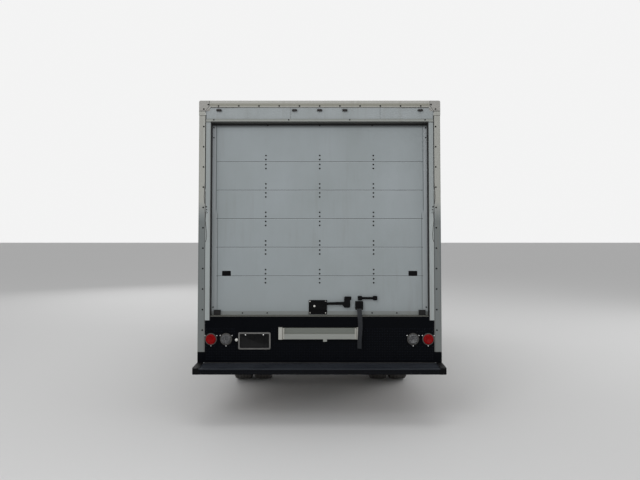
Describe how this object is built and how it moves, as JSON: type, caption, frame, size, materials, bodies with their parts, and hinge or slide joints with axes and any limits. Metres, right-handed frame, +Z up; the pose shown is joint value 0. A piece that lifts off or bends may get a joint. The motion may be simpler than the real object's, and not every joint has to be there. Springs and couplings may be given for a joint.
{
  "type": "box truck",
  "caption": "Cab-over delivery truck with a square van body, roll-up rear door, stowed walk ramp and step bumper; steers, rolls, and its cab tilts.",
  "frame": {"origin": "on the ground, midway between the bumpers and between the sides", "axes": "+Y forward along the truck, +X to its right, +Z up"},
  "size_m": [2.7322, 7.0498, 3.1639],
  "materials": {
    "chassis": "satin black",
    "axle": "painted black, dusty",
    "engine": "bare casting",
    "exhaust": "aluminised steel, stained",
    "tank": "satin black",
    "battery": "grained black",
    "flap": "matt",
    "front_bumper": "white gloss",
    "floor_boards": "worn hardwood",
    "box_skin": "white gloss, dusty",
    "box_roof": "mill finish",
    "rear_frame": "grey white, worn",
    "door_panel": "light grey, dusty",
    "door_track": "galvanised",
    "latch": "black zinc",
    "strap": "woven webbing",
    "sill": "black, scuffed",
    "step": "black, worn to grey",
    "lamp": "red and clear lenses",
    "plate": "blank",
    "ramp": "mill finish",
    "cab_paint": "white gloss",
    "window": "lightly tinted",
    "grille": "grained black",
    "headlamp": "clear lens",
    "cab_floor": "ribbed mat over primer",
    "dash": "grained grey",
    "seat": "woven grey",
    "steer_rim": "grained black",
    "mirror_case": "grained black",
    "tyre": "dusty",
    "rim": "white, dusty",
    "knuckle": "bare casting"
  },
  "bodies": {
    "root": {"ladder_frame": "chassis", "front_axle": "axle", "rear_axle": "axle", "powertrain": "engine", "exhaust": "exhaust", "fuel_tank": "tank", "battery_box": "battery", "mud_flaps": "flap", "front_bumper": "front_bumper", "box_floor": "floor_boards", "box_side_walls": "box_skin", "box_front_wall": "box_skin", "box_roof": "box_roof", "rear_frame": "rear_frame", "rollup_door": "door_panel", "door_tracks": "door_track", "door_latch": "latch", "pull_strap": "strap", "rear_sill": "sill", "step_bumper": "step", "body_lamps": "lamp", "licence_plate": "plate"},
    "ramp": {"ramp": "ramp"},
    "cab": {"cab_shell": "cab_paint", "cab_floor": "cab_floor", "cab_glass": "window", "grille": "grille", "headlamps": "headlamp", "dashboard": "dash", "seats": "seat"},
    "steering_wheel": {"steering_wheel": "steer_rim"},
    "tie_rod": {"tie_rod": "axle"},
    "door_left": {"cab_door_left": "cab_paint", "door_glass_left": "window", "mirror_left": "mirror_case"},
    "knuckle_left": {"knuckle_left": "knuckle"},
    "wheel_front_left": {"tyre_front_left": "tyre", "wheel_front_left": "rim"},
    "wheels_rear_left": {"tyres_rear_left": "tyre", "wheels_rear_left": "rim"},
    "door_right": {"cab_door_right": "cab_paint", "door_glass_right": "window", "mirror_right": "mirror_case"},
    "knuckle_right": {"knuckle_right": "knuckle"},
    "wheel_front_right": {"tyre_front_right": "tyre", "wheel_front_right": "rim"},
    "wheels_rear_right": {"tyres_rear_right": "tyre", "wheels_rear_right": "rim"}
  },
  "joints": [
    {"name": "cab_tilt", "type": "hinge", "parent": "root", "child": "cab", "pos_m": [0, 3.369, 0.65], "axis": [-1, 0, 0], "range_deg": [0, 45]},
    {"name": "ramp_slide", "type": "slide", "parent": "root", "child": "ramp", "axis": [0, -1, 0], "range_m": [0, 2.3]},
    {"name": "steering_wheel_turn", "type": "hinge", "parent": "cab", "child": "steering_wheel", "pos_m": [-0.47, 2.815, 1.42], "axis": [0, -0.6198, 0.7848], "range_deg": [-350, 350]},
    {"name": "door_left_hinge", "type": "hinge", "parent": "cab", "child": "door_left", "pos_m": [-1.032, 3.289, 1.1], "axis": [0, 0, -1], "range_deg": [0, 70]},
    {"name": "steer_left", "type": "hinge", "parent": "root", "child": "knuckle_left", "pos_m": [-0.696, 2.425, 0.385], "axis": [0, 0, 1], "range_deg": [-35, 35]},
    {"name": "wheel_front_left_spin", "type": "hinge", "parent": "knuckle_left", "child": "wheel_front_left", "pos_m": [-0.832, 2.425, 0.385], "axis": [1, 0, 0], "continuous": true},
    {"name": "wheels_rear_left_spin", "type": "hinge", "parent": "root", "child": "wheels_rear_left", "pos_m": [-0.825, -1.385, 0.385], "axis": [1, 0, 0], "continuous": true},
    {"name": "door_right_hinge", "type": "hinge", "parent": "cab", "child": "door_right", "pos_m": [1.032, 3.289, 1.1], "axis": [0, 0, 1], "range_deg": [0, 70]},
    {"name": "steer_right", "type": "hinge", "parent": "root", "child": "knuckle_right", "pos_m": [0.696, 2.425, 0.385], "axis": [0, 0, 1], "range_deg": [-35, 35]},
    {"name": "wheel_front_right_spin", "type": "hinge", "parent": "knuckle_right", "child": "wheel_front_right", "pos_m": [0.832, 2.425, 0.385], "axis": [1, 0, 0], "continuous": true},
    {"name": "wheels_rear_right_spin", "type": "hinge", "parent": "root", "child": "wheels_rear_right", "pos_m": [0.825, -1.385, 0.385], "axis": [1, 0, 0], "continuous": true},
    {"name": "tie_rod_pivot", "type": "hinge", "parent": "knuckle_left", "child": "tie_rod", "pos_m": [-0.696, 2.22, 0.27], "axis": [0, 0, 1], "range_deg": [-35, 35]}
  ],
  "couplings": [
    {"joint": "steer_right", "follows": "steer_left", "ratio": 1},
    {"joint": "tie_rod_pivot", "follows": "steer_left", "ratio": -1},
    {"joint": "steering_wheel_turn", "follows": "steer_left", "ratio": 10}
  ]
}
